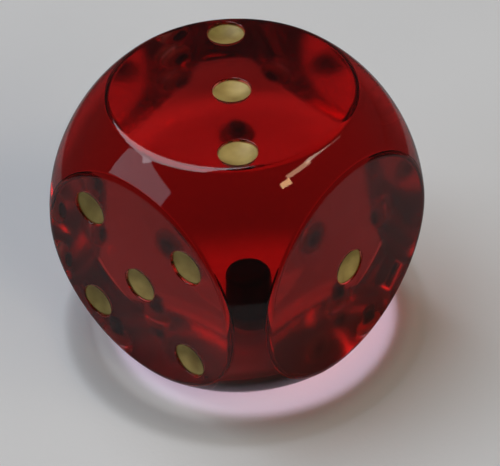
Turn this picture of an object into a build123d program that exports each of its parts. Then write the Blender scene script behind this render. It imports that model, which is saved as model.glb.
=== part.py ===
from build123d import *

import os
from math import cos, radians, sin, sqrt

# A transparent six-sided die with painted pips, as separate solids in millimetres.
#
# The body is one clear plastic casting: a ball with six flats on it, so that each flat is a full
# circle with a softened rim. Each flat has round recesses drilled in it, one to six of them, with a
# drill whose narrow tip leaves a deeper well in the middle. Each recess holds its own plug of gold
# enamel, which dried with a dished top a little below the flat.
#
# The origin is the centre of the die. +Z is the flat with three pips, -Y the one with five and +X
# the one with one. Opposite flats add up to seven.


# Driving dimensions.
ACROSS_FLATS = 16.0  # from one flat to the opposite one
BALL_DIAMETER = 20.7  # of the ball that the flats are cut from
RIM_RADIUS = 0.75  # softening where a flat meets the ball
PIP_DIAMETER = 2.04  # of a recess at its mouth
PIP_DEPTH = 0.6  # from the flat to the floor of a recess
PIP_DRAFT = 0.04  # by which a recess's wall narrows on its way down, on the radius
PIP_CORNER = 0.2  # radius between a recess's wall and its floor
WELL_DIAMETER = 1.0  # of the deeper well that the drill's tip leaves in a recess's floor
WELL_DEPTH = 0.85  # from the flat to the bottom of the well
FOUR_WELL_DEPTH = 1.6  # the same on the four, where the drill ran in further
WELL_CORNER = 0.15  # radius between the well's wall and its bottom
ENAMEL_DOWN = 0.12  # from the flat to the enamel's edge
ENAMEL_DISH = 0.3  # from the enamel's edge to the middle of its dished top
WIDE_PITCH = 3.69  # from a flat's centre to a line of pips
CLOSE_PITCH = 3.43  # the same on the five

# How the drilling jig lay on the five and the four: a little turned, in degrees, and off centre.
FIVE_TURN = -2.2
FIVE_SHIFT = (0.14, -0.17)
FOUR_TURN = 3.5

HALF = ACROSS_FLATS / 2
BALL_RADIUS = BALL_DIAMETER / 2
MOUTH_RADIUS = PIP_DIAMETER / 2
CUTTER_CLEAR = 0.5  # how far a recess cutter stands out of the flat

# Pips in units of the pitch, across and up the flat.
LAYOUTS = {
    "one": [(0, 0)],
    "two": [(1, -1), (-1, 1)],
    "three": [(-1, -1), (0, 0), (1, 1)],
    "four": [(-1, -1), (1, -1), (1, 1), (-1, 1)],
    "five": [(0, 0), (-1, -1), (1, -1), (1, 1), (-1, 1)],
    "six": [(-1, -1), (-1, 0), (-1, 1), (1, -1), (1, 0), (1, 1)],
}


def flat(outward, across):
    """The plane of a flat: its outward normal and the direction that runs across it."""
    return Plane(origin=Vector(*outward) * HALF, x_dir=across, z_dir=outward)


FLATS = {
    "one": flat((1, 0, 0), (0, 1, 0)),
    "two": flat((0, 1, 0), (-1, 0, 0)),
    "three": flat((0, 0, 1), (0, -1, 0)),
    "four": flat((0, 0, -1), (1, 0, 0)),
    "five": flat((0, -1, 0), (1, 0, 0)),
    "six": flat((-1, 0, 0), (0, -1, 0)),
}
PITCHES = {
    "one": WIDE_PITCH,
    "two": WIDE_PITCH,
    "three": WIDE_PITCH,
    "four": WIDE_PITCH,
    "five": CLOSE_PITCH,
    "six": WIDE_PITCH,
}
TURNS = {"four": FOUR_TURN, "five": FIVE_TURN}
SHIFTS = {"five": FIVE_SHIFT}
WELL_DEPTHS = {"four": FOUR_WELL_DEPTH}


def pip_places(count):
    """Where each pip of a flat goes: a location on the flat, its z pointing outwards."""
    turn = TURNS.get(count, 0.0)
    shift = SHIFTS.get(count, (0.0, 0.0))
    places = []
    for across, up in LAYOUTS[count]:
        x = PITCHES[count] * (across * cos(radians(turn)) - up * sin(radians(turn)))
        y = PITCHES[count] * (across * sin(radians(turn)) + up * cos(radians(turn)))
        places.append(FLATS[count] * Location((x + shift[0], y + shift[1], 0)))
    return places


def wall_radius(depth):
    """Radius of a recess's wall at a depth below the flat."""
    return MOUTH_RADIUS - PIP_DRAFT * depth / (PIP_DEPTH - PIP_CORNER)


def rounded_corner(radius, top, corner):
    """A quarter circle in XZ from a wall at a radius, at depth top, inwards to the floor."""
    middle = corner * sqrt(0.5)
    return ThreePointArc(
        (radius, 0, -top),
        (radius - corner + middle, 0, -top - middle),
        (radius - corner, 0, -top - corner),
    )


def floor_line(well_depth):
    """The recess's rounded corner, its floor and the well in it, from the wall to the axis."""
    corner_top = PIP_DEPTH - PIP_CORNER
    radius = wall_radius(corner_top)
    well_radius = WELL_DIAMETER / 2
    well_corner_top = well_depth - WELL_CORNER
    return [
        rounded_corner(radius, corner_top, PIP_CORNER),
        Line((radius - PIP_CORNER, 0, -PIP_DEPTH), (well_radius, 0, -PIP_DEPTH)),
        Line((well_radius, 0, -PIP_DEPTH), (well_radius, 0, -well_corner_top)),
        rounded_corner(well_radius, well_corner_top, WELL_CORNER),
        Line((well_radius - WELL_CORNER, 0, -well_depth), (0, 0, -well_depth)),
    ]


def recess_cutter(well_depth):
    """What the drill takes away: a drafted hole with a round-cornered floor and a well in it."""
    corner_top = PIP_DEPTH - PIP_CORNER
    outline = [
        Line((0, 0, CUTTER_CLEAR), (MOUTH_RADIUS, 0, CUTTER_CLEAR)),
        Line((MOUTH_RADIUS, 0, CUTTER_CLEAR), (MOUTH_RADIUS, 0, 0)),
        Line((MOUTH_RADIUS, 0, 0), (wall_radius(corner_top), 0, -corner_top)),
        *floor_line(well_depth),
        Line((0, 0, -well_depth), (0, 0, CUTTER_CLEAR)),
    ]
    return revolve(make_face(outline), Axis.Z)


def enamel_plug(well_depth):
    """The enamel in one recess: it fills the well and most of the recess, under a dished top."""
    corner_top = PIP_DEPTH - PIP_CORNER
    edge = wall_radius(ENAMEL_DOWN)
    low = ENAMEL_DOWN + ENAMEL_DISH
    dish_radius = (edge**2 + ENAMEL_DISH**2) / (2 * ENAMEL_DISH)
    half_way = edge / 2
    half_way_down = low - dish_radius + sqrt(dish_radius**2 - half_way**2)
    dish = ThreePointArc(
        (0, 0, -low),
        (half_way, 0, -half_way_down),
        (edge, 0, -ENAMEL_DOWN),
    )
    outline = [
        dish,
        Line((edge, 0, -ENAMEL_DOWN), (wall_radius(corner_top), 0, -corner_top)),
        *floor_line(well_depth),
        Line((0, 0, -well_depth), (0, 0, -low)),
    ]
    return revolve(make_face(outline), Axis.Z)


def die_body():
    """The ball with its six flats, softened rims and twenty-one recesses."""
    body = Sphere(BALL_RADIUS) & Box(ACROSS_FLATS, ACROSS_FLATS, ACROSS_FLATS)
    rims = body.edges().filter_by(GeomType.CIRCLE)
    body = fillet(rims, RIM_RADIUS)
    cuts = []
    for count in LAYOUTS:
        cutter = recess_cutter(WELL_DEPTHS.get(count, WELL_DEPTH))
        cuts += [place * cutter for place in pip_places(count)]
    return body - cuts


def main():
    os.makedirs("parts", exist_ok=True)
    export_step(die_body(), "parts/die_body.step")
    for count in LAYOUTS:
        plug = enamel_plug(WELL_DEPTHS.get(count, WELL_DEPTH))
        for number, place in enumerate(pip_places(count), start=1):
            export_step(place * plug, f"parts/pip_{count}_{number}.step")


main()
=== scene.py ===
"""A clear dark red die with ball corners and gold enamel pips, on a pale table in soft light.

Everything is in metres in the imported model's frame: the die's centre is the origin, +Z is the flat
with three pips, -Y the five and +X the one. The body and the enamel in each pip are worked out
here as surfaces, because clear plastic shows every facet of a coarser mesh.
"""
from math import atan2, cos, pi, radians, sin, sqrt, tan

import bpy
import numpy as np
from mathutils import Matrix, Vector
from mathutils.geometry import delaunay_2d_cdt


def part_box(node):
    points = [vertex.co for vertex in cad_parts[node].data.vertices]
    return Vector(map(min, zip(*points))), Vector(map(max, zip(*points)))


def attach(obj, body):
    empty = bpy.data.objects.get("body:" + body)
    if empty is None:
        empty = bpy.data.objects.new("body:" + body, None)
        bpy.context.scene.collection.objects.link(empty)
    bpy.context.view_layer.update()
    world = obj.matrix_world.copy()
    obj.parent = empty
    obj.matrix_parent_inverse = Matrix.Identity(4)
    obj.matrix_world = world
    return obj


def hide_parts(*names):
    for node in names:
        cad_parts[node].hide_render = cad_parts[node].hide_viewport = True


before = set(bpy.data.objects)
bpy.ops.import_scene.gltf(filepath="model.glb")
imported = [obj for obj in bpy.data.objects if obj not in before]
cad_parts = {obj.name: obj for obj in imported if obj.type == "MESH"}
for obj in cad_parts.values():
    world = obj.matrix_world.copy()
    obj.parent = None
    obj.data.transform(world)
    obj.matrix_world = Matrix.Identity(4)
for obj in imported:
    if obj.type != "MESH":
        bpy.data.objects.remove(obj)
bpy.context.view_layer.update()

MM = 0.001

# Sizes of the body, in metres. The half width comes from the frame.
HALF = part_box("die_body")[1].z
BALL_RADIUS = 1.29375 * HALF
RIM_RADIUS = 0.75 * MM  # softening where a flat meets the ball
MOUTH_RADIUS = 1.02 * MM  # of a recess, below its worn lip
LIP_RADIUS = 0.05 * MM  # softening of a recess's lip
PIP_DEPTH = 0.6 * MM  # of a recess's floor
PIP_DRAFT = 0.04 * MM
PIP_CORNER = 0.2 * MM
WELL_RADIUS = 0.5 * MM
WELL_CORNER = 0.15 * MM
ENAMEL_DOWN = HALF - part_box("pip_three_1")[1].z
ENAMEL_DISH = 0.3 * MM
ENAMEL_BITE = 0.01 * MM  # how far the enamel keys into the plastic
EDGE_WAVER = 0.28  # how far the enamel's edge rises and falls, as a share of ENAMEL_DOWN
EDGE_SEED = 21
SHORT_STEP = 0.02 * MM  # from a recess's floor down to the well's first ring

# Finishes of the body: the ball is polished, the flats are finely sanded.
PLASTIC_IOR = 1.59
PLASTIC_TINT = (0.905, 0.14, 0.10, 1)
PLASTIC_DENSITY = 320
BALL_ROUGHNESS = 0.015
FLAT_ROUGHNESS = 0.13

# The stage. Distances in half widths are from the die's centre.
TABLE_RADIUS = 1.2
TABLE_GAP = 0.02 * MM  # between the die and the table
STAGE_STEPS = 96
SURROUND = 4.6  # half widths to where the table turns dark for the die
SURROUND_TONE = 0.05
PAINTED_REFLECTION_TONE = 0.24  # of the table in the die's gloss: a painted reflection, dimmer than the table
PAINTED_SHADE_TONE = 0.33  # of the table close round the die, through its plastic: painted shade
GLOW_CENTRE = (0.06, 0.05, -1)  # in half widths
GLOW_WIDTH = 2.14  # in half widths
ROOM_TONE = (0.035, 0.035, 0.036, 1)  # as the die sees it
BACKDROP_TONE = (0.5, 0.5, 0.51, 1)  # as the camera sees it
BOUNCES = 32  # of light, inside the clear body

# Steps of the meshes.
RIM_STEPS = 256  # round a flat; a multiple of 8, so that neighbouring shares of the ball meet
RIM_ARC_STEPS = 12
BALL_STEPS = 26
PIP_STEPS = 64
LIP_STEPS = 5
CORNER_STEPS = 6
TOP_RINGS = 12


# ---------------------------------------------------------------- mesh helpers

def grid_faces(rows, columns):
    """Quads of a grid of rows x columns points, closed round the columns.

    They are wound so that the step along a row crossed with the step to the next row points outwards.
    """
    i, j = np.meshgrid(np.arange(rows - 1), np.arange(columns), indexing="ij")
    k = (j + 1) % columns
    here = i * columns
    below = here + columns
    return np.stack([here + j, here + k, below + k, below + j], -1).reshape(-1, 4)


class Shell:
    """Points, normals and faces gathered patch by patch, then merged where patches meet."""

    def __init__(self):
        self.points, self.normals, self.quads, self.triangles, self.count = [], [], [], [], 0

    def add(self, points, normals, quads=None, triangles=None):
        points = np.asarray(points, float).reshape(-1, 3)
        if quads is not None:
            self.quads.append(np.asarray(quads) + self.count)
        if triangles is not None:
            self.triangles.append(np.asarray(triangles) + self.count)
        self.points.append(points)
        self.normals.append(np.asarray(normals, float).reshape(-1, 3))
        self.count += len(points)

    def mesh(self, name, weld=2e-7):
        """The mesh: points in one cell of size weld become one, and shading uses the true normals."""
        points, normals = np.concatenate(self.points), np.concatenate(self.normals)
        keys = np.round(points / weld).astype(np.int64)
        _, first, inverse = np.unique(keys, axis=0, return_index=True, return_inverse=True)
        inverse = inverse.reshape(-1)
        faces = [inverse[q] for q in self.quads + self.triangles]
        sizes = np.concatenate([np.full(len(f), f.shape[1]) for f in faces])
        corners = np.concatenate([f.reshape(-1) for f in faces])
        mesh = bpy.data.meshes.new(name)
        mesh.vertices.add(len(first))
        mesh.vertices.foreach_set("co", points[first].astype(np.float32).ravel())
        mesh.loops.add(len(corners))
        mesh.loops.foreach_set("vertex_index", corners.astype(np.int32))
        mesh.polygons.add(len(sizes))
        starts = np.concatenate([[0], np.cumsum(sizes)[:-1]])
        mesh.polygons.foreach_set("loop_start", starts.astype(np.int32))
        mesh.update(calc_edges=True)
        mesh.validate()
        mesh.polygons.foreach_set("use_smooth", np.ones(len(mesh.polygons), bool))
        mesh.normals_split_custom_set_from_vertices(normals[first].tolist())
        return mesh


def to_flat(points, flat):
    """Points given on a flat (across, up, out of it) as points of the die."""
    across, up, out, centre = flat
    points = np.asarray(points, float)
    return centre + points[..., :1] * across + points[..., 1:2] * up + points[..., 2:3] * out


def turn_to_flat(normals, flat):
    """Normals given on a flat as normals of the die."""
    across, up, out, _ = flat
    normals = np.asarray(normals, float)
    return normals[..., :1] * across + normals[..., 1:2] * up + normals[..., 2:3] * out


def revolve(profile, profile_normals, steps, centre):
    """A profile of (radius, height) turned about the line through centre, square to the flat."""
    angle = np.arange(steps) * 2 * pi / steps
    c, s = np.cos(angle), np.sin(angle)
    r, h = np.asarray(profile, float).T
    nr, nh = np.asarray(profile_normals, float).T
    points = np.stack([centre[0] + r[:, None] * c, centre[1] + r[:, None] * s, h[:, None] + 0 * c], -1)
    normals = np.stack([nr[:, None] * c, nr[:, None] * s, nh[:, None] + 0 * c], -1)
    return points, normals


# ---------------------------------------------------------------- places

FLAT_AXES = {
    "one": ((0, 1, 0), (0, 0, 1)),
    "two": ((-1, 0, 0), (0, 0, 1)),
    "three": ((0, -1, 0), (1, 0, 0)),
    "four": ((1, 0, 0), (0, -1, 0)),
    "five": ((1, 0, 0), (0, 0, 1)),
    "six": ((0, -1, 0), (0, 0, 1)),
}
COUNTS = {"one": 1, "two": 2, "three": 3, "four": 4, "five": 5, "six": 6}


def flat_of(count):
    """A flat's directions across, up and out of it, and its centre."""
    across, up = (np.array(a, float) for a in FLAT_AXES[count])
    out = np.cross(across, up)
    return across, up, out, out * HALF


def pip_centres(count):
    """Centre of each pip on its flat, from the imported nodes."""
    across, up = flat_of(count)[:2]
    found = []
    for number in range(1, COUNTS[count] + 1):
        low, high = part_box(f"pip_{count}_{number}")
        middle = (np.array(low) + np.array(high)) / 2
        found.append((middle @ across, middle @ up))
    return found


def well_depth_of(count):
    """How far the well of a flat's recesses goes down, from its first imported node."""
    out = flat_of(count)[2]
    low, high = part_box(f"pip_{count}_1")
    return HALF - min(abs(np.array(low) @ out), abs(np.array(high) @ out))


# ---------------------------------------------------------------- body

RIM_CIRCLE = sqrt((BALL_RADIUS - RIM_RADIUS) ** 2 - (HALF - RIM_RADIUS) ** 2)
RIM_ANGLE = atan2(RIM_CIRCLE, HALF - RIM_RADIUS)


def wall_radius(depth):
    """Radius of a recess's wall: it narrows evenly by PIP_DRAFT down to the rounded corner."""
    return MOUTH_RADIUS - PIP_DRAFT * depth / (PIP_DEPTH - PIP_CORNER)


def low_profile(well_depth, bite=0.0):
    """(radius, height) and normals of a recess below its wall, from the wall to the well's middle.

    A quarter circle of PIP_CORNER, a level floor, the well's wall, a quarter circle of WELL_CORNER
    and the well's level bottom. Bite moves every part outwards, into the plastic.
    """
    turn = np.linspace(0, pi / 2, CORNER_STEPS + 1)[1:]
    edge = wall_radius(PIP_DEPTH - PIP_CORNER) - PIP_CORNER
    reach = PIP_CORNER + bite
    height = PIP_CORNER - PIP_DEPTH - reach * np.sin(turn)
    points = [np.stack([edge + reach * np.cos(turn), height], 1)]
    normals = [np.stack([-np.cos(turn), np.sin(turn)], 1)]
    well = WELL_RADIUS + bite
    floor = np.linspace(edge, well, 3)[1:]
    points.append(np.stack([floor, np.full(2, -PIP_DEPTH - bite)], 1))
    normals.append(np.array([[0.0, 1.0], [-0.7, 0.7]]))
    depths = np.linspace(PIP_DEPTH + bite + SHORT_STEP, well_depth - WELL_CORNER, 4)
    points.append(np.stack([np.full(4, well), -depths], 1))
    normals.append(np.tile([-1.0, 0.0], (4, 1)))
    low = WELL_RADIUS - WELL_CORNER
    reach = WELL_CORNER + bite
    height = WELL_CORNER - well_depth - reach * np.sin(turn)
    points.append(np.stack([low + reach * np.cos(turn), height], 1))
    normals.append(np.stack([-np.cos(turn), np.sin(turn)], 1))
    points.append(np.array([[low / 2, -well_depth - bite]]))
    normals.append(np.array([[0.0, 1.0]]))
    return np.concatenate(points), np.concatenate(normals)


def recess_profile(well_depth):
    """(radius, height) and normals from the lip on the flat down the wall to the well's middle."""
    lip = np.linspace(0, pi / 2, LIP_STEPS + 1)
    radius = MOUTH_RADIUS + LIP_RADIUS - LIP_RADIUS * np.sin(lip)
    points = [np.stack([radius, -LIP_RADIUS + LIP_RADIUS * np.cos(lip)], 1)]
    normals = [np.stack([-np.sin(lip), np.cos(lip)], 1)]
    depths = np.linspace(LIP_RADIUS, PIP_DEPTH - PIP_CORNER, 5)[1:]
    points.append(np.stack([wall_radius(depths), -depths], 1))
    normals.append(np.tile([-1.0, 0.0], (len(depths), 1)))
    low, low_normals = low_profile(well_depth)
    return np.concatenate(points + [low]), np.concatenate(normals + [low_normals])


def skin_height(radius):
    """Height of the body's skin over a flat's plane, and its lean, at a radius from the flat's axis.

    Level out to RIM_CIRCLE, then an arc of RIM_RADIUS that leans up to RIM_ANGLE, then the ball.
    """
    radius = np.asarray(radius, float)
    rim_sine = np.clip((radius - RIM_CIRCLE) / RIM_RADIUS, 0, 1)
    on_ball = radius > BALL_RADIUS * sin(RIM_ANGLE)
    lean = np.where(on_ball, np.arcsin(np.clip(radius / BALL_RADIUS, -1, 1)), np.arcsin(rim_sine))
    on_rim = RIM_RADIUS * (np.cos(lean) - 1)
    height = np.where(on_ball, BALL_RADIUS * np.cos(lean) - HALF, on_rim)
    return height, lean


def skin(x, y):
    """Points and normals of the skin over places (x, y) on a flat."""
    radius = np.hypot(x, y)
    height, lean = skin_height(radius)
    turn = np.arctan2(y, x)
    points = np.stack([x, y, height], -1)
    normals = np.stack([np.sin(lean) * np.cos(turn), np.sin(lean) * np.sin(turn), np.cos(lean)], -1)
    return points, normals


def add_face(shell, flat, centres):
    """A flat with its rim and its share of the ball, with a round hole at each pip.

    Places lie on rings round the flat's axis: the flat's edge, then even steps of lean over the
    rim, then even steps of lean over the ball to the plane half way to the next flat. Triangles
    join them and the holes' edges in the flat's plane, and the skin's height moves them into place.
    """
    turn = np.arange(RIM_STEPS) * 2 * pi / RIM_STEPS
    c, s = np.cos(turn), np.sin(turn)
    last = np.arctan(1 / np.maximum(np.abs(c), np.abs(s)))
    share = np.linspace(0, 1, BALL_STEPS + 1)[1:, None]
    lean = RIM_ANGLE + (last - RIM_ANGLE) * share
    ball = BALL_RADIUS * np.sin(lean)
    rim_lean = np.linspace(0, RIM_ANGLE, RIM_ARC_STEPS + 1)[:, None]
    rim = RIM_CIRCLE + RIM_RADIUS * np.sin(rim_lean) + 0 * turn
    rings = np.concatenate([rim, ball])
    grid = np.stack([rings * c, rings * s], -1)
    border = grid[-1]
    inner = grid[:-1].reshape(-1, 2)
    mouth = MOUTH_RADIUS + LIP_RADIUS
    hole_turn = np.arange(PIP_STEPS) * 2 * pi / PIP_STEPS
    loops = [border]
    for x, y in centres:
        inner = inner[np.hypot(inner[:, 0] - x, inner[:, 1] - y) > mouth + 0.5 * LIP_RADIUS]
        loops.append(np.stack([x + mouth * np.cos(hole_turn), y + mouth * np.sin(hole_turn)], 1))
    places = np.concatenate(loops + [inner])
    edges, start = [], 0
    for loop in loops:
        edges += [(start + i, start + (i + 1) % len(loop)) for i in range(len(loop))]
        start += len(loop)
    made = delaunay_2d_cdt([Vector(p / HALF) for p in places], edges, [], 1, 1e-9)
    found = np.array([tuple(v) for v in made[0]]) * HALF
    for k, sources in enumerate(made[3]):
        if sources:
            found[k] = places[sources[0]]
    triangles = np.array([list(t) for t in made[2]])
    middle = found[triangles].mean(1)
    keep = np.ones(len(triangles), bool)
    hole = mouth * 0.9985  # just within the nearest point of the hole's chords
    for x, y in centres:
        keep &= np.hypot(middle[:, 0] - x, middle[:, 1] - y) > hole
    triangles = triangles[keep]
    a, b, c = found[triangles[:, 0]], found[triangles[:, 1]], found[triangles[:, 2]]
    area = (b[:, 0] - a[:, 0]) * (c[:, 1] - a[:, 1]) - (b[:, 1] - a[:, 1]) * (c[:, 0] - a[:, 0])
    triangles[area < 0] = triangles[area < 0][:, ::-1]
    points, normals = skin(found[:, 0], found[:, 1])
    shell.add(to_flat(points, flat), turn_to_flat(normals, flat), triangles=triangles)


def add_recess(shell, flat, centre, well_depth):
    """A recess: its profile turned about the pip's axis, closed by a fan at the well's middle."""
    profile, profile_normals = recess_profile(well_depth)
    points, normals = revolve(profile, profile_normals, PIP_STEPS, centre)
    rows = len(profile)
    points = np.concatenate([points.reshape(-1, 3), [[centre[0], centre[1], -well_depth]]])
    normals = np.concatenate([normals.reshape(-1, 3), [[0, 0, 1]]])
    quads = grid_faces(rows, PIP_STEPS)
    ring = (rows - 1) * PIP_STEPS + np.arange(PIP_STEPS)
    middle = np.stack([ring, np.roll(ring, -1), np.full(PIP_STEPS, rows * PIP_STEPS)], 1)
    shell.add(to_flat(points, flat), turn_to_flat(normals, flat), quads=quads, triangles=middle)


def make_body():
    """The whole plastic skin: six flats with their shares of the ball, and every recess."""
    shell = Shell()
    for count in COUNTS:
        flat = flat_of(count)
        centres = pip_centres(count)
        add_face(shell, flat, centres)
        for centre in centres:
            add_recess(shell, flat, centre, well_depth_of(count))
    return shell.mesh("clear_body")


def make_enamel(count, number, centre, rng):
    """The enamel in one recess, keyed a little into the plastic.

    The top's depth goes with the square of the radius, from the middle out to an edge that wavers
    by a few cosines. From there rings follow the wall, the corner and the well.
    """
    well_depth = well_depth_of(count)
    turn = np.arange(PIP_STEPS) * 2 * pi / PIP_STEPS
    wave = sum(
        rng.uniform(0.4, 1) / k * np.cos(k * turn + rng.uniform(0, 2 * pi)) for k in (1, 2, 3, 5)
    )
    down = ENAMEL_DOWN * (1 + EDGE_WAVER * wave)
    edge = wall_radius(ENAMEL_DOWN) + ENAMEL_BITE
    share = np.linspace(0, 1, TOP_RINGS + 1)[1:, None]
    middle_down = ENAMEL_DOWN + ENAMEL_DISH
    heights = -(middle_down + (down - middle_down) * share**2)
    top = np.stack([edge * share * np.cos(turn), edge * share * np.sin(turn), heights], -1)
    depths = np.linspace(0, 1, 5)[1:, None]
    corner_top = PIP_DEPTH - PIP_CORNER
    wall_depth = down + (corner_top - down) * depths
    radius = MOUTH_RADIUS - PIP_DRAFT * wall_depth / corner_top + ENAMEL_BITE
    wall = np.stack([radius * np.cos(turn), radius * np.sin(turn), -wall_depth], -1)
    low = low_profile(well_depth, ENAMEL_BITE)[0][:, :, None]
    low = np.stack([low[:, 0] * np.cos(turn), low[:, 0] * np.sin(turn), low[:, 1] + 0 * turn], -1)
    rows = np.concatenate([top, wall, low])
    middles = [[0, 0, -middle_down], [0, 0, -well_depth - ENAMEL_BITE]]
    points = np.concatenate([rows.reshape(-1, 3), middles])
    quads = grid_faces(len(rows), PIP_STEPS)[:, ::-1]
    first = np.arange(PIP_STEPS)
    last = (len(rows) - 1) * PIP_STEPS + first
    top_cap = np.stack([first, np.roll(first, -1), np.full(PIP_STEPS, len(rows) * PIP_STEPS)], 1)
    low_cap = np.stack([np.roll(last, -1), last, np.full(PIP_STEPS, len(rows) * PIP_STEPS + 1)], 1)
    points[:, :2] += centre
    flat = flat_of(count)
    mesh = bpy.data.meshes.new(f"enamel_{count}_{number}")
    faces = quads.tolist() + top_cap.tolist() + low_cap.tolist()
    mesh.from_pydata(to_flat(points, flat).tolist(), [], faces)
    mesh.polygons.foreach_set("use_smooth", np.ones(len(mesh.polygons), bool))
    open_count = (TOP_RINGS + 1) * PIP_STEPS  # the top and the wall's first ring
    buried = np.concatenate([np.zeros(open_count), np.ones(len(points) - open_count)])
    buried[-2] = 0  # the top's middle
    # Down the well buried rises to 2, where the enamel is coloured near black: painted shade.
    buried += np.clip((-points[:, 2] - PIP_DEPTH - SHORT_STEP) / SHORT_STEP, 0, 1)
    layer = mesh.attributes.new("buried", "FLOAT", "POINT")
    layer.data.foreach_set("value", buried.astype(np.float32))
    return mesh


def show(mesh, material, slot, *nodes):
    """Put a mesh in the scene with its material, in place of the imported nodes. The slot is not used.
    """
    piece = bpy.data.objects.new(mesh.name, mesh)
    bpy.context.scene.collection.objects.link(piece)
    mesh.materials.append(material)
    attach(piece, "root")
    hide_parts(*nodes)
    return piece


# ---------------------------------------------------------------- materials

def new_material(name):
    """A material with its node tree's nodes, links and main shader."""
    material = bpy.data.materials.new(name)
    material.use_nodes = True
    nodes, links = material.node_tree.nodes, material.node_tree.links
    return material, nodes, links, nodes["Principled BSDF"]


def math_node(nodes, links, operation, first, second):
    """A math node fed by sockets or plain numbers."""
    node = nodes.new("ShaderNodeMath")
    node.operation = operation
    for place, value in enumerate((first, second)):
        if isinstance(value, (int, float)):
            node.inputs[place].default_value = value
        else:
            links.new(value, node.inputs[place])
    return node.outputs[0]


def span(nodes, links, value, low, high, to_low, to_high):
    """A value's share between low and high, as a number from to_low to to_high."""
    node = nodes.new("ShaderNodeMapRange")
    links.new(value, node.inputs["Value"])
    for name, number in zip(("From Min", "From Max", "To Min", "To Max"), (low, high, to_low, to_high)):
        node.inputs[name].default_value = number
    return node.outputs[0]


def noise(nodes, links, place, scale, detail):
    """Fractal noise over places in metres: scale is its lumps per metre."""
    node = nodes.new("ShaderNodeTexNoise")
    node.inputs["Scale"].default_value = scale
    node.inputs["Detail"].default_value = detail
    links.new(place, node.inputs["Vector"])
    return node.outputs["Fac"]


def ramp(nodes, links, value, low, high):
    """A colour that goes from low to high with a value; each is (position, colour)."""
    node = nodes.new("ShaderNodeValToRGB")
    for stop, (position, colour) in zip(node.color_ramp.elements, (low, high)):
        stop.position = position
        stop.color = colour
    links.new(value, node.inputs["Fac"])
    return node.outputs[0]


def clear_red_plastic():
    """Clear deep red. The ball is polished; the flats are finely sanded, with uneven handling wear.

    A place is on a flat where the largest of its three distances from the middle planes reaches HALF.
    """
    material, nodes, links, shader = new_material("clear_red_plastic")
    shader.inputs["Base Color"].default_value = (1, 1, 1, 1)
    shader.inputs["IOR"].default_value = PLASTIC_IOR
    shader.inputs["Transmission Weight"].default_value = 1.0
    place = nodes.new("ShaderNodeTexCoord").outputs["Object"]
    size = nodes.new("ShaderNodeVectorMath")
    size.operation = "ABSOLUTE"
    links.new(place, size.inputs[0])
    parts = nodes.new("ShaderNodeSeparateXYZ")
    links.new(size.outputs[0], parts.inputs[0])
    reach = math_node(nodes, links, "MAXIMUM", parts.outputs[0], parts.outputs[1])
    reach = math_node(nodes, links, "MAXIMUM", reach, parts.outputs[2])
    start, full = HALF * 0.997, HALF * 0.9995
    sanded = span(nodes, links, reach, start, full, BALL_ROUGHNESS, FLAT_ROUGHNESS)
    smudges = noise(nodes, links, place, 500, 6)
    wear = span(nodes, links, smudges, 0.35, 0.65, 0.8, 1.25)
    links.new(math_node(nodes, links, "MULTIPLY", sanded, wear), shader.inputs["Roughness"])
    absorb = nodes.new("ShaderNodeVolumeAbsorption")
    absorb.inputs["Color"].default_value = PLASTIC_TINT
    absorb.inputs["Density"].default_value = PLASTIC_DENSITY
    links.new(absorb.outputs[0], nodes["Material Output"].inputs["Volume"])
    return material


def gold_enamel():
    """Satin olive gold on top, with a mottle; brown against the plastic, and near black in the wells,
    which is painted shade.

    The attribute buried is 0 on the top, 1 on the wall and the floor and 2 in the well.
    """
    material, nodes, links, shader = new_material("gold_enamel")
    place = nodes.new("ShaderNodeTexCoord").outputs["Object"]
    mottle = noise(nodes, links, place, 900, 5)
    gold = ramp(nodes, links, mottle, (0.3, (0.23, 0.16, 0.04, 1)), (0.7, (0.42, 0.33, 0.10, 1)))
    buried = nodes.new("ShaderNodeAttribute")
    buried.attribute_name = "buried"
    half = math_node(nodes, links, "MULTIPLY", buried.outputs["Fac"], 0.5)
    # Near black deep in the wells is painted shade, for how dark the wells look through the plastic.
    back = ramp(nodes, links, half, (0.5, (0.8, 0.48, 0.3, 1)), (0.9, (0.04, 0.02, 0.015, 1)))
    mix = nodes.new("ShaderNodeMix")
    mix.data_type = "RGBA"
    links.new(buried.outputs["Fac"], mix.inputs["Factor"])
    links.new(gold, mix.inputs[6])
    links.new(back, mix.inputs[7])
    links.new(mix.outputs[2], shader.inputs["Base Color"])
    shader.inputs["Metallic"].default_value = 0.25
    shader.inputs["Roughness"].default_value = 0.42
    return material


def pale_table():
    """Matt off-white, with a faint mottle and a fine tooth."""
    material, nodes, links, shader = new_material("pale_table")
    place = nodes.new("ShaderNodeTexCoord").outputs["Object"]
    mottle = noise(nodes, links, place, 60, 4)
    tone = span(nodes, links, mottle, 0.3, 0.7, 0.80, 0.82)
    mix = nodes.new("ShaderNodeCombineColor")
    for socket in mix.inputs[:3]:
        links.new(tone, socket)
    links.new(mix.outputs[0], shader.inputs["Base Color"])
    shader.inputs["Roughness"].default_value = 0.6
    tooth = nodes.new("ShaderNodeBump")
    tooth.inputs["Strength"].default_value = 0.15
    tooth.inputs["Distance"].default_value = 0.05 * MM
    links.new(noise(nodes, links, place, 4000, 3), tooth.inputs["Height"])
    links.new(tooth.outputs[0], shader.inputs["Normal"])
    return material


# ---------------------------------------------------------------- stage

def circle(radius, height):
    """Points of a level circle about the die's axis."""
    turn = np.arange(STAGE_STEPS) * 2 * pi / STAGE_STEPS
    level = np.full(STAGE_STEPS, height)
    return np.stack([radius * np.cos(turn), radius * np.sin(turn), level], 1)


def make_floor():
    """The table: one round face just under the die."""
    mesh = bpy.data.meshes.new("table_top")
    rim = circle(TABLE_RADIUS, -HALF - TABLE_GAP)
    mesh.from_pydata(rim.tolist(), [], [list(range(STAGE_STEPS))])
    mesh.materials.append(pale_table())
    floor = bpy.data.objects.new("table_top", mesh)
    bpy.context.scene.collection.objects.link(floor)


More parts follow.
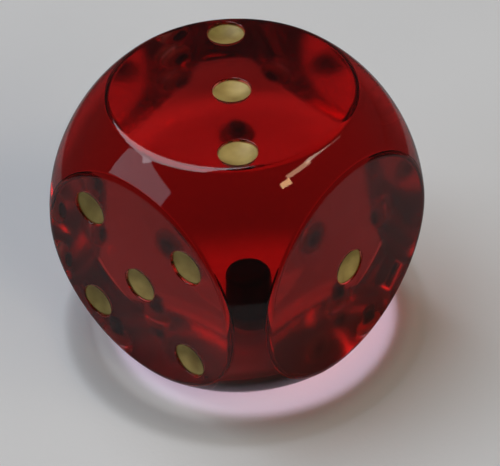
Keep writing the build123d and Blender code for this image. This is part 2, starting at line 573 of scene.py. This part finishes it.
def make_ring(name, inner, outer, tone, height=0.0, alpha=1.0):
    """A flat matt ring about the die, at a height over its foot.

    As made here, it is seen only in the die's gloss and through its plastic.
    """
    points = np.concatenate([circle(radius, height - HALF) for radius in (inner, outer)])
    mesh = bpy.data.meshes.new(name)
    mesh.from_pydata(points.tolist(), [], grid_faces(2, STAGE_STEPS).tolist())
    material, nodes, links, shader = new_material(name)
    shader.inputs["Base Color"].default_value = (tone, tone, tone, 1)
    shader.inputs["Roughness"].default_value = 1
    shader.inputs["Specular IOR Level"].default_value = 0
    shader.inputs["Alpha"].default_value = alpha
    mesh.materials.append(material)
    ring = bpy.data.objects.new(name, mesh)
    bpy.context.scene.collection.objects.link(ring)
    ring.visible_camera = False
    ring.visible_diffuse = False
    ring.visible_shadow = False
    return ring


def make_surround():
    """What the die sees of the table round it, and the soft shade close to its foot.

    The table in the die's gloss is a dimmer copy of it, a painted reflection; close round the die, seen
    through its plastic, it is a dim copy too, painted shade; further out both are dark. The shade is a
    half-clear ring just over the table.
    """
    make_ring("dark_surround", SURROUND * HALF, TABLE_RADIUS, SURROUND_TONE)
    # A darker copy of the table, seen only in the die's gloss: painted reflection.
    painted_reflection = make_ring("painted_table_reflection", 0.9 * HALF, SURROUND * HALF, PAINTED_REFLECTION_TONE)
    painted_reflection.visible_transmission = False
    # A darker copy of the table, seen only through the die's plastic: painted shade.
    painted_shade = make_ring("painted_shade_ring", 1.36 * HALF, 2.8 * HALF, PAINTED_SHADE_TONE)
    painted_shade.visible_glossy = False
    shade = make_ring("contact_shade", 1.13 * HALF, 1.33 * HALF, 0.0, height=0.1 * HALF, alpha=0.42)
    shade.visible_shadow = True
    shade.visible_diffuse = True
    shade.visible_glossy = False
    shade.visible_transmission = False


def direction(azimuth, elevation):
    """Unit vector: azimuth in degrees from +Y towards +X, elevation above the table."""
    a, e = radians(azimuth), radians(elevation)
    return Vector((sin(a) * cos(e), cos(a) * cos(e), sin(e)))


def panel(name, azimuth, elevation, wide, high, power, colour, tilt=0, away=1.0):
    """A flat soft light that faces the die: wide and high are the angles it fills, in degrees."""
    light = bpy.data.lights.new(name, "AREA")
    light.shape = "RECTANGLE"
    light.size = 2 * away * tan(radians(wide / 2))
    light.size_y = 2 * away * tan(radians(high / 2))
    light.energy = power * light.size * light.size_y * pi
    light.color = colour
    lamp = bpy.data.objects.new(name, light)
    bpy.context.scene.collection.objects.link(lamp)
    lamp.location = direction(azimuth, elevation) * away
    facing = (-lamp.location).to_track_quat("-Z", "Y").to_matrix()
    lamp.rotation_euler = (facing @ Matrix.Rotation(radians(tilt), 3, "Z")).to_euler()
    return lamp


def make_beam(pieces):
    """A narrow lamp that makes the glow under the die. Its light isn't held back by the pieces."""
    azimuth, elevation, away, power = 137, 80, 0.4, 0.47
    light = bpy.data.lights.new("front_beam", "SPOT")
    light.spot_size = 2 * atan2(GLOW_WIDTH * HALF / 2, away)
    light.spot_blend = 0.12
    light.shadow_soft_size = 0.4 * MM
    light.energy = power * 4 * pi * pi * away**2
    light.color = (0.9, 0.76, 1.02)
    lamp = bpy.data.objects.new("front_beam", light)
    bpy.context.scene.collection.objects.link(lamp)
    foot = Vector(GLOW_CENTRE) * HALF
    lamp.location = foot + direction(azimuth, elevation) * away
    lamp.rotation_euler = (foot - lamp.location).to_track_quat("-Z", "Y").to_euler()
    lamp.visible_glossy = False
    lamp.visible_transmission = False
    let_by = bpy.data.collections.new("front_beam_skips")
    for piece in pieces:
        let_by.objects.link(piece)
    lamp.light_linking.blocker_collection = let_by
    for entry in let_by.collection_objects:
        entry.light_linking.link_state = "EXCLUDE"


def make_lights():
    """Soft panels over the table, and three small warm ones for the lights on the polished ball."""
    panel("overhead", -108, 62, wide=52, high=42, power=2.45, colour=(0.93, 0.98, 1.06))
    panel("left_window", -146, 29, wide=40, high=24, power=1.0, colour=(0.9, 0.96, 1.08))
    fill = panel("warm_fill", 85, 26, wide=50, high=26, power=2.7, colour=(1.0, 0.93, 0.74))
    fill.visible_glossy = False
    fill.visible_transmission = False
    panel("warm_lamp", 94, 44.5, wide=7, high=3.4, power=9.0, colour=(1.0, 0.62, 0.3))
    panel("warm_strip", 78, 46, wide=18, high=2.4, power=5.0, colour=(1.0, 0.62, 0.38), tilt=-10)
    panel("pale_strip", 50, 40, wide=30, high=2.0, power=4.5, colour=(1.0, 0.8, 0.62), tilt=-27)


def make_room():
    """Nearly black to the die and pale to the camera."""
    world = bpy.data.worlds.new("room")
    world.use_nodes = True
    nodes, links = world.node_tree.nodes, world.node_tree.links
    seen = nodes.new("ShaderNodeMix")
    seen.data_type = "RGBA"
    seen.inputs[6].default_value = ROOM_TONE
    seen.inputs[7].default_value = BACKDROP_TONE
    links.new(nodes.new("ShaderNodeLightPath").outputs["Is Camera Ray"], seen.inputs["Factor"])
    links.new(seen.outputs[2], nodes["Background"].inputs["Color"])
    bpy.context.scene.world = world


def make_camera():
    """The camera: it stands back from the die's centre, turned so that the centre lies at aim."""
    azimuth, elevation, away = radians(43.32), radians(40.58), 12.07 * HALF
    back = Vector((sin(azimuth) * cos(elevation), -cos(azimuth) * cos(elevation), sin(elevation)))
    right = Vector((cos(azimuth), sin(azimuth), 0))
    up = back.cross(right)
    focal = 3.4818  # of the sensor's width
    aim = Vector((-0.02525, 0.05506, -focal)).normalized()  # where the die's centre lies
    turn = aim.rotation_difference(Vector((0, 0, -1))).to_matrix()
    roll = Matrix.Rotation(radians(2.84), 3, "Z")
    axes = Matrix((right, up, back))
    camera_rows = turn.transposed() @ roll @ axes
    data = bpy.data.cameras.new("camera")
    data.sensor_width = 36
    data.lens = 36 * focal
    data.clip_start = 0.01
    data.clip_end = 10
    camera = bpy.data.objects.new("camera", data)
    bpy.context.scene.collection.objects.link(camera)
    camera.matrix_world = Matrix.Translation(back * away) @ camera_rows.transposed().to_4x4()
    bpy.context.scene.camera = camera


# ---------------------------------------------------------------- scene

make_camera()
pieces = [show(make_body(), clear_red_plastic(), "clear_red_plastic", "die_body")]
enamel = gold_enamel()
rng = np.random.default_rng(EDGE_SEED)
for count in COUNTS:
    for number, centre in enumerate(pip_centres(count), start=1):
        mesh = make_enamel(count, number, centre, rng)
        pieces.append(show(mesh, enamel, "gold_enamel", f"pip_{count}_{number}"))

make_floor()
make_surround()
make_beam(pieces)
make_lights()
make_room()

scene = bpy.context.scene
scene.view_settings.view_transform = "Standard"
scene.cycles.max_bounces = BOUNCES
scene.cycles.transmission_bounces = BOUNCES
scene.cycles.glossy_bounces = BOUNCES
